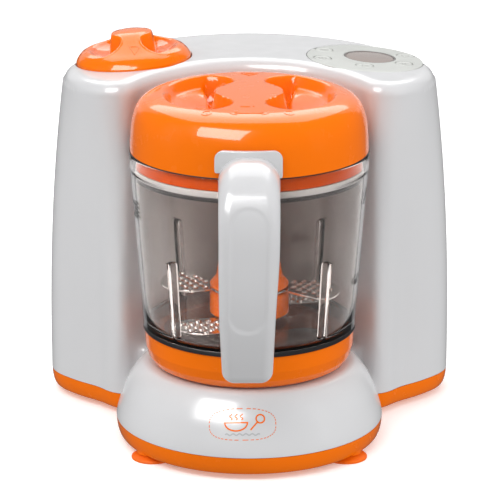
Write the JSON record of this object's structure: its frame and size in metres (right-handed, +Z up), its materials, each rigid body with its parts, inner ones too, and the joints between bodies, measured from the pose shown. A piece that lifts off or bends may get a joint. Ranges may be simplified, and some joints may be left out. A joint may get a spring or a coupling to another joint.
{
  "type": "baby food maker",
  "caption": "White and orange countertop baby food maker with a smoked jar and handle, water tank cap and round control panel.",
  "frame": {"origin": "middle of the footprint's bounding box, at the bottom of the feet", "axes": "+Z up, -Y the front where the handle points, +X the control panel's side"},
  "size_m": [0.236, 0.2662, 0.2171],
  "materials": {
    "white_gloss": "glossy white moulded plastic",
    "orange_gloss": "glossy orange moulded plastic",
    "orange_rubber": "satin orange rubber",
    "smoke_clear": "clear smoke-tinted plastic",
    "tank_clear": "clear plastic",
    "black_rubber": "matte black rubber",
    "panel_ivory": "satin ivory film",
    "display_glass": "dark display window",
    "steel": "machined steel",
    "aluminium": "cast aluminium",
    "black_plastic": "matte black plastic",
    "circuit_green": "circuit board lacquer"
  },
  "bodies": {
    "appliance": {"base_tray": "orange_gloss", "boiler_cup": "aluminium", "boiler_heater": "steel", "boiler_lid": "black_plastic", "boiler_thermostat": "black_plastic", "control_board": "circuit_green", "cord_grommet": "black_rubber", "display_module": "black_plastic", "display_window": "display_glass", "drive_belt": "black_rubber", "feed_seal": "black_rubber", "filler_neck": "white_gloss", "foot_front_left": "orange_rubber", "foot_front_right": "orange_rubber", "foot_rear_left": "orange_rubber", "foot_rear_right": "orange_rubber", "housing_shell": "white_gloss", "motor_bracket": "aluminium", "motor_can": "steel", "motor_endcap": "black_plastic", "panel_fascia": "panel_ivory", "power_board": "circuit_green", "spindle_bearing": "steel", "steam_hose": "black_rubber", "steam_nozzle": "white_gloss", "tray_screw_1": "steel", "tray_screw_2": "steel", "tray_screw_3": "steel", "tray_screw_4": "steel", "water_tank": "tank_clear"},
    "motor_rotor": {"motor_armature": "steel", "motor_shaft": "steel", "motor_pulley": "black_plastic"},
    "drive": {"drive_pulley": "black_plastic", "drive_spindle": "steel", "drive_coupling": "orange_gloss"},
    "jar": {"jar_bowl": "smoke_clear", "jar_collar": "orange_gloss", "collar_gasket": "black_rubber", "spindle_bush": "steel", "handle_shell": "white_gloss", "handle_cover": "white_gloss", "handle_screw": "steel"},
    "blade": {"blade_spindle": "steel", "drive_socket": "black_plastic", "blade_hub": "orange_gloss", "blade_upper": "steel", "blade_lower": "steel"},
    "lid_ring": {"lid_seal": "black_rubber"},
    "lid": {"lid_dome": "orange_gloss", "lid_plug": "orange_gloss"},
    "cap_ring": {"cap_seal": "black_rubber"},
    "cap": {"tank_cap": "orange_gloss"},
    "menu_button": {"button_menu": "panel_ivory"},
    "steam_button": {"button_steam": "panel_ivory"},
    "start_button": {"button_start": "panel_ivory"},
    "blend_button": {"button_blend": "panel_ivory"},
    "warm_button": {"button_warm": "panel_ivory"}
  },
  "joints": [
    {"name": "motor_spin", "type": "hinge", "parent": "appliance", "child": "motor_rotor", "pos_m": [0.066, 0.0631, 0], "axis": [0, 0, 1], "continuous": true},
    {"name": "drive_spin", "type": "hinge", "parent": "appliance", "child": "drive", "pos_m": [0, -0.0249, 0], "axis": [0, 0, 1], "continuous": true},
    {"name": "jar_lift", "type": "slide", "parent": "appliance", "child": "jar", "axis": [0, 0, 1], "range_m": [0, 0.2]},
    {"name": "blade_spin", "type": "hinge", "parent": "jar", "child": "blade", "pos_m": [0, -0.0249, 0], "axis": [0, 0, 1], "continuous": true},
    {"name": "lid_lift", "type": "slide", "parent": "jar", "child": "lid_ring", "axis": [0, 0, 1], "range_m": [0, 0.12]},
    {"name": "lid_turn", "type": "hinge", "parent": "lid_ring", "child": "lid", "pos_m": [0, -0.0249, 0.169], "axis": [0, 0, 1], "range_deg": [0, 30]},
    {"name": "cap_lift", "type": "slide", "parent": "appliance", "child": "cap_ring", "axis": [-0.0714, 0, 0.9975], "range_m": [0, 0.08]},
    {"name": "cap_turn", "type": "hinge", "parent": "cap_ring", "child": "cap", "pos_m": [-0.0675, 0.0656, 0.19959], "axis": [-0.0714, 0, 0.9975], "range_deg": [0, 90]},
    {"name": "menu_press", "type": "slide", "parent": "appliance", "child": "menu_button", "axis": [-0.0714, 0, -0.9975], "range_m": [0, 0.0008], "stiffness_N_per_m": 400, "springref_m": -0.0005},
    {"name": "steam_press", "type": "slide", "parent": "appliance", "child": "steam_button", "axis": [-0.0714, 0, -0.9975], "range_m": [0, 0.0008], "stiffness_N_per_m": 400, "springref_m": -0.0005},
    {"name": "start_press", "type": "slide", "parent": "appliance", "child": "start_button", "axis": [-0.0714, 0, -0.9975], "range_m": [0, 0.0008], "stiffness_N_per_m": 400, "springref_m": -0.0005},
    {"name": "blend_press", "type": "slide", "parent": "appliance", "child": "blend_button", "axis": [-0.0714, 0, -0.9975], "range_m": [0, 0.0008], "stiffness_N_per_m": 400, "springref_m": -0.0005},
    {"name": "warm_press", "type": "slide", "parent": "appliance", "child": "warm_button", "axis": [-0.0714, 0, -0.9975], "range_m": [0, 0.0008], "stiffness_N_per_m": 400, "springref_m": -0.0005}
  ],
  "couplings": [
    {"joint": "drive_spin", "follows": "motor_spin", "ratio": 0.4344},
    {"joint": "blade_spin", "follows": "motor_spin", "ratio": 0.4344}
  ]
}
